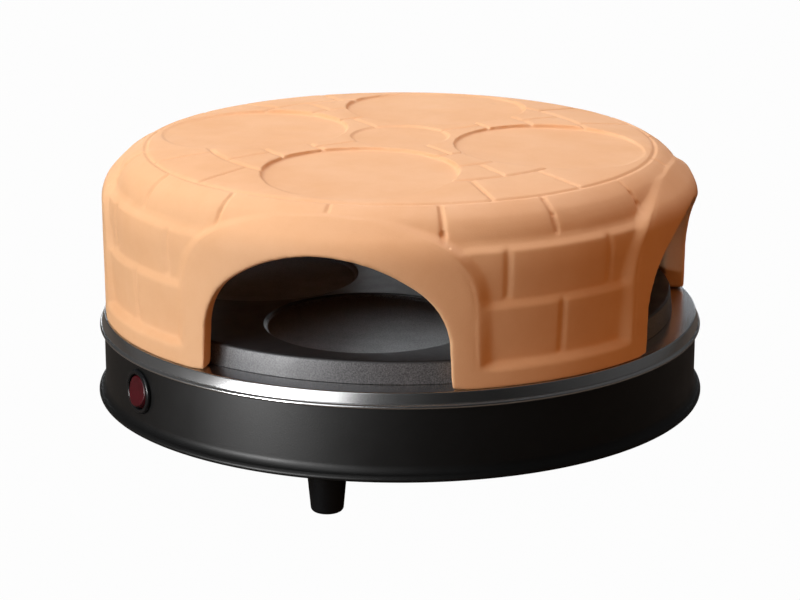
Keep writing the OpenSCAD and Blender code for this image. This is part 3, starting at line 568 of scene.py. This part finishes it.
def make_plate(mat):
    """Cast plate: rounded rim, hollow underside and four recesses with eased lips."""
    foot_z, top_z, web = DECK_Z + 0.05, PLATE_TOP_Z, 6.4
    edge_r, foot_r, skirt = 158.2, 159.4, 3.0
    pan_z, pan_r, lip_r, pan_reach, first_pan_az = PLATE_TOP_Z - 2.6, 59.35, 0.85, 85.5, 3.0
    outline = rounded([(0, top_z, 0), (edge_r, top_z, 1.6), (foot_r, foot_z, 0.3),
                       (foot_r - skirt, foot_z, 0.3), (154.8, top_z - web, 1.5), (0, top_z - web, 0)])
    plate = turn("cast_plate", outline, mat)
    lip = arc((pan_r, top_z - lip_r), lip_r, 180, 97, 6)
    corner = [(0, pan_z), (56.2, pan_z), (56.9, pan_z + 0.2), (57.3, pan_z + 0.6)]
    above = [(59.4, top_z + 2), (0, top_z + 2)]
    section = [Vector(p) for p in corner] + lip + [Vector(p) for p in above]
    pans = [placed(turn("pan", section, mat, 160), first_pan_az + 90 * quarter, (0, -pan_reach, 0))
            for quarter in range(4)]
    bored(plate, pans)
    shaded(plate, 25)
    return plate


def make_housing(mat):
    """Switch housing: barrel, pocket and a bezel with a full, eased rim."""
    back, pocket_floor, seat, face = 149.9, 166.64, 173.42, 175.4
    barrel_r, bezel_r = 11, 12.8
    section = rounded([(0, back, 0), (barrel_r, back, 0.6), (barrel_r, seat, 0), (bezel_r, seat, 0.2),
                       (bezel_r, face, 1.3), (POCKET_R, face, 0.8), (POCKET_R, pocket_floor, 0.5),
                       (0, pocket_floor, 0)])
    housing = turn("round_switch_housing", section, mat, 96)
    return placed(housing, SWITCH_AZ, (0, 0, SWITCH_Z), 90)


def make_rocker(mat):
    """Rocker with a shallow dished face, rounded edge and two pivot pins."""
    ball, out, valley, edge, lean = 9.55, 3.0, 3.5, 0.9, math.radians(8)
    pivot_r, steps = 172.4, 72
    face_shares = (0.2, 0.4, 0.55, 0.7, 0.8, 0.88, 0.94, 0.98, 1.0)
    back_depths = (-1.4, -0.4, 0.6, 1.6, 2.4, 3.0)
    angles = [2 * math.pi * k / steps for k in range(steps)]
    work = bmesh.new()
    rings = []

    def face_out(height):
        return out + math.tan(lean) * (math.hypot(height, valley) - valley)

    for share in face_shares:
        ring = []
        for angle in angles:
            reach = math.sqrt(ball ** 2 - face_out(8.8 * math.sin(angle)) ** 2) - 0.05
            rho = share * reach
            x, z = rho * math.cos(angle), rho * math.sin(angle)
            past = max(0.0, rho - (reach - edge))
            fall = edge - math.sqrt(max(edge ** 2 - past ** 2, 0.0))
            ring.append(work.verts.new((x, fall - face_out(z), z)))
        rings.append(ring)
    for back in back_depths:
        radius = math.sqrt(ball ** 2 - back ** 2)
        rings.append([work.verts.new((radius * math.cos(a), back, radius * math.sin(a))) for a in angles])
    front = work.verts.new((0, -out, 0))
    rear = work.verts.new((0, back_depths[-1], 0))
    for k in range(steps):
        after = (k + 1) % steps
        work.faces.new((front, rings[0][k], rings[0][after]))
        work.faces.new((rear, rings[-1][after], rings[-1][k]))
        for inner, outer in zip(rings, rings[1:]):
            work.faces.new((inner[k], outer[k], outer[after], inner[after]))
    for side in (-1, 1):
        pin = bmesh.ops.create_cone(work, cap_ends=True, segments=24, radius1=1.0, radius2=1.0, depth=1.4)
        lying = Matrix.Rotation(math.pi / 2, 4, "Y")
        beside = Matrix.Translation((side * (POCKET_R - 0.3), 0, 0))
        bmesh.ops.transform(work, verts=pin["verts"], matrix=beside @ lying)
    bmesh.ops.recalc_face_normals(work, faces=work.faces)
    mesh = bpy.data.meshes.new("dished_rocker")
    work.to_mesh(mesh)
    work.free()
    mesh.materials.append(mat)
    mesh.transform(Matrix.Scale(MM, 4))
    at_pivot = Matrix.Translation(Vector((0, -pivot_r, SWITCH_Z)) * MM)
    mesh.transform(at_pivot @ Matrix.Rotation(-lean, 4, "X"))
    mesh.transform(Matrix.Rotation(math.radians(SWITCH_AZ), 4, "Z"))
    piece = bpy.data.objects.new("dished_rocker", mesh)
    SCENE.collection.objects.link(piece)
    shaded(piece, 50)
    return piece


# ------------------------------------------------------------------ the dome's soft fired edges


# Half widths, heights and three-centred roundings of the mouths and of the hoods round them, and how far
# their feet splay; then the dome's outside, all in millimetres above its foot or from its axis
ARCH = {"half": 67.3, "height": 71.5, "side": 40.0, "flat": 9.5, "splay": 1.3}
HOOD = {"half": 80.5, "height": 91.0, "side": 38.0, "flat": 8.0, "splay": 1.3}
PILLAR_R, BRICK_R, SHOULDER_R, SHOULDER_Z = 172.7, 171.0, 38.0, 60.5
FOOT_BAND, LOW_JOINT, HIGH_JOINT, JOINTS_END = 13.0, 46.5, 76.5, 78.2
HOOD_BEND_Z, HOOD_BEND_R, HOOD_SLOPE = 67.7, 20.0, math.radians(46)
WALL_FOOT, WALL_END, OUTER_SKIN_R, CROWN_Z = 1.5, 90.0, 166.0, 92.0
# Height above the dome's foot, and how far the courses lie behind the brick field there
COURSES = ((1.5, -1.7), (9.6, -1.7), (10.4, -1.3), (13.4, 2.1), (14.2, 2.4), (42.8, 0.2), (43.4, 0.4),
           (46.2, 2.3), (46.8, 2.5), (72.8, 0.2), (73.4, 0.4), (76.2, 2.3), (78.2, 2.5), (90.0, 0.0))
# Upright joints of the wall: degrees from the pillar's middle, and the heights between which they run
WALL_JOINTS = ((0, FOOT_BAND, LOW_JOINT), (-11, LOW_JOINT, HIGH_JOINT), (11, LOW_JOINT, HIGH_JOINT))
# Where joints have crumbled: azimuth, lowest and highest height, and the number of chips
CHIPS = ((22.5, 78, 92, 5), (45, 80, 90, 3), (67.5, 82, 92, 2), (112.5, 80, 92, 3), (202.5, 80, 90, 2),
         (292.5, 80, 92, 3), (337.5, 80, 90, 1), (56, 50, 72, 2), (34, 50, 74, 1), (236, 50, 74, 2),
         (135, 18, 44, 2), (315, 18, 44, 1))
# Voxel size in metres, then rounds of smoothing all over and round the mouths
QUICK_CLAY, FULL_CLAY = (0.0010, 4, 14), (0.00075, 7, 26)
MOST_TRIANGLES = 190000


def merged_copy(node_name, name):
    """Copy of a CAD node with its loose triangles joined."""
    mesh = frame["nodes"][node_name].data.copy()
    mesh.name = name
    work = bmesh.new()
    work.from_mesh(mesh)
    bmesh.ops.remove_doubles(work, verts=work.verts, dist=0.00001)
    work.to_mesh(mesh)
    work.free()
    piece = bpy.data.objects.new(name, mesh)
    SCENE.collection.objects.link(piece)
    return piece


def read_points(mesh, kind="vertices", field="co"):
    """Three numbers for each element of a mesh, as rows."""
    values = np.empty(len(getattr(mesh, kind)) * 3, dtype=np.float32)
    getattr(mesh, kind).foreach_get(field, values)
    return values.reshape(-1, 3).astype(float)


def eased_step(value, low, high):
    """0 below low, 1 above high, and a smooth ramp between."""
    share = np.clip((value - low) / (high - low), 0, 1)
    return share * share * (3 - 2 * share)


def radii(points):
    """Distance of each point from the upright axis."""
    return np.hypot(points[:, 0], points[:, 1])


def azimuths(points):
    """Degrees round the axis, counted from -Y towards +X."""
    return np.degrees(np.arctan2(points[:, 0], -points[:, 1]))


def off_mouth(radius, azimuth):
    """Distance sideways from the middle of the nearest mouth."""
    return np.abs(radius * np.sin(np.radians((azimuth + 45) % 90 - 45)))


def arch_points(arch, pitch=1.0):
    """Right half of a three-centred arch as points about a pitch apart, foot first."""
    spring = arch["height"] - arch["side"] - arch["flat"]
    inset = arch["half"] - arch["side"]
    drop = (inset * inset - arch["flat"] ** 2) / (2 * arch["flat"])
    lean = math.atan2(drop, inset)
    top = math.hypot(inset, drop) + arch["side"]
    points = []
    for k in range(int(spring / pitch) + 1):
        up = min(k * pitch, spring)
        points.append((arch["half"] + arch["splay"] * (1 - up / spring), up))
    for centre, radius, start, stop in (((inset, spring), arch["side"], 0, lean),
                                        ((0, spring - drop), top, lean, math.pi / 2)):
        steps = int(radius * (stop - start) / pitch) + 1
        for k in range(steps + 1):
            angle = start + (stop - start) * k / steps
            points.append((centre[0] + radius * math.cos(angle), centre[1] + radius * math.sin(angle)))
    return np.array(points)


def half_width(arch, height):
    """Half the width of an arch at each height, and nothing above its crown."""
    points = arch_points(arch)
    return np.interp(height, points[:, 1], points[:, 0], right=-1.0)


def near_outline(across, up, outline):
    """Distance of each point to the nearest point of an outline."""
    nearest = np.full(len(across), 1e3)
    for px, pz in outline:
        nearest = np.minimum(nearest, (across - px) ** 2 + (up - pz) ** 2)
    return np.sqrt(nearest)


def smoothed(points, edges, weight, rounds):
    """Moves each point part of the way to the middle of its neighbours, several times."""
    first, second = edges[:, 0], edges[:, 1]
    count = len(points)
    shares = np.bincount(first, minlength=count) + np.bincount(second, minlength=count)
    for _ in range(rounds):
        middle = np.empty_like(points)
        for axis in range(3):
            row = points[:, axis]
            middle[:, axis] = (np.bincount(first, weights=row[second], minlength=count)
                               + np.bincount(second, weights=row[first], minlength=count)) / shares
        points = points + weight[:, None] * (middle - points)
    return points


def brick_radius(height):
    """Outside radius of the plain brick field at each height."""
    past = np.clip(height - SHOULDER_Z, 0, SHOULDER_R)
    return BRICK_R - SHOULDER_R + np.sqrt(SHOULDER_R ** 2 - past ** 2)


def hood_radius(height):
    """Outside radius of the hoods' sloping faces at each height."""
    bend = np.arcsin(np.clip((height - HOOD_BEND_Z) / HOOD_BEND_R, 0, math.sin(HOOD_SLOPE)))
    past = np.maximum(height - HOOD_BEND_Z - HOOD_BEND_R * math.sin(HOOD_SLOPE), 0)
    return PILLAR_R - HOOD_BEND_R * (1 - np.cos(bend)) - past * math.tan(HOOD_SLOPE)


def laid_courses(points, base_z):
    """Moves the wall's outside to courses with sloping ledges, soft joints and a fillet up to the hoods."""
    radius, azimuth, z = radii(points), azimuths(points), points[:, 2] - base_z
    across = off_mouth(radius, azimuth)
    plain = brick_radius(z)
    behind = np.interp(z, *zip(*COURSES))
    for middle, low, high in WALL_JOINTS:
        beside = radius * np.radians(azimuth % 90 - 45 - middle)
        run = eased_step(z, low, low + 2.5) * (1 - eased_step(z, high - 4.0, high - 1.0))
        behind = behind + np.exp(-(beside / 2.0) ** 2) * run
    to_hood = near_outline(across, z, arch_points(HOOD))
    spread = np.interp(z, (62, 86), (8.0, 2.8))
    fillet = np.maximum(hood_radius(z) - plain + behind, 0) * (1 - eased_step(to_hood / spread, -0.12, 1.0))
    beside_hood = across > half_width(HOOD, z) - 1.2
    on_wall = beside_hood & (radius > plain - 4) & (z > WALL_FOOT) & (z < WALL_END)
    laid = np.where(z < JOINTS_END, plain, np.minimum(radius, plain)) - behind + fillet
    share = np.where(on_wall, laid / radius, 1.0)
    return points * np.stack([share, share, np.ones(len(points))], axis=1)


def clay_relief(points, base_z):
    """How far the joints down the shoulder are widened, in millimetres."""
    radius, azimuth, z = radii(points), azimuths(points), points[:, 2] - base_z
    on_bricks = eased_step(off_mouth(radius, azimuth) - half_width(HOOD, z), 0.8, 3.5)
    beside = radius * np.radians((azimuth + 11.25) % 22.5 - 11.25)
    run = eased_step(z, HIGH_JOINT - 0.5, HIGH_JOINT + 1.5) * eased_step(radius, 148.0, 150.0) * on_bricks
    return 0.5 * np.exp(-(beside / 1.6) ** 2) * run


def clay_unevenness(points, rng, waves=14, depth=0.10):
    """Slow rise and fall of a pressed clay surface."""
    rise = np.zeros(len(points))
    for _ in range(waves):
        direction = rng.normal(size=3)
        direction /= np.linalg.norm(direction)
        length = rng.uniform(18, 60)
        rise += np.sin(points @ direction * (2 * math.pi / length) + rng.uniform(0, 2 * math.pi))
    return rise * depth / math.sqrt(waves / 2)


def clay_chips(points, base_z, rng):
    """Small pits where the arrises of the joints have crumbled."""
    places = []
    for joint, low, high, count in CHIPS:
        for _ in range(count):
            places.append((joint + rng.uniform(-0.35, 0.35), rng.uniform(low, high), rng.uniform(0.6, 1.3)))
    sink = np.zeros(len(points))
    radius, azimuth, z = radii(points), azimuths(points), points[:, 2] - base_z
    for spot, height, size in places:
        aside = (azimuth - spot + 180) % 360 - 180
        apart = np.hypot(radius * np.radians(aside) * 1.3, z - height)
        sink += 0.9 * size * np.exp(-(apart / size) ** 2)
    return sink


def soft_dome(mat):
    """The dome again, with the eased arrises, sloping ledges and small chips of fired clay."""
    voxel, all_rounds, mouth_rounds = FULL_CLAY
    dome = merged_copy("terracotta_dome", "soft_dome")
    base_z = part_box("terracotta_dome")[0][2] / MM
    voxels = dome.modifiers.new("voxels", "REMESH")
    voxels.mode = "VOXEL"
    voxels.voxel_size = voxel
    fine = applied(dome)
    points = read_points(fine) / MM
    outward = read_points(fine, "vertex_normals", "vector")
    edges = np.empty(len(fine.edges) * 2, dtype=np.int32)
    fine.edges.foreach_get("vertices", edges)
    edges = edges.reshape(-1, 2)
    rng = np.random.default_rng(11)
    radius, z = radii(points), points[:, 2] - base_z
    radial = (outward[:, 0] * points[:, 0] + outward[:, 1] * points[:, 1]) / np.maximum(radius, 1)
    outside = eased_step(np.maximum(radial, outward[:, 2]), 0.1, 0.5) * (z > 1.0)
    outside *= (radius > OUTER_SKIN_R) | (z > HIGH_JOINT - 0.5)
    sink = clay_relief(points, base_z) + clay_unevenness(points, rng) + clay_chips(points, base_z, rng)
    points = laid_courses(points - outward * (np.maximum(sink, 0.0) * outside)[:, None], base_z)
    z = points[:, 2] - base_z
    to_arris = near_outline(off_mouth(radius, azimuths(points)), z, arch_points(ARCH))
    points = smoothed(points, edges, np.where(z > CROWN_Z, 0.22, 0.5), all_rounds)
    points = smoothed(points, edges, 0.5 * (1 - eased_step(to_arris, 3.0, 8.0)), mouth_rounds)
    fine.vertices.foreach_set("co", (points * MM).astype(np.float32).ravel())
    fine.update()
    thin = dome.modifiers.new("thin", "DECIMATE")
    thin.ratio = min(1.0, MOST_TRIANGLES / (2 * len(fine.polygons)))
    soft = applied(dome)
    soft.materials.clear()
    soft.materials.append(mat)
    for poly in soft.polygons:
        poly.use_smooth = True
    settle(dome, "terracotta_dome", "dome")


def main():
    make_camera()
    make_floor()
    make_world()
    light_studio()
    mats = make_finishes()
    dress_nodes(mats)
    settle(make_tray(mats["stainless"]), "steel_tray", "base")
    settle(make_drum(mats["drum_black"]), "base_drum", "base")
    settle(make_plate(mats["plate_coating"]), "baking_plate", "plate")
    settle(make_housing(mats["switch_black"]), "switch_housing", "base")
    settle(make_rocker(mats["rocker_red"]), "switch_rocker", "rocker")
    soft_dome(mats["terracotta"])


main()
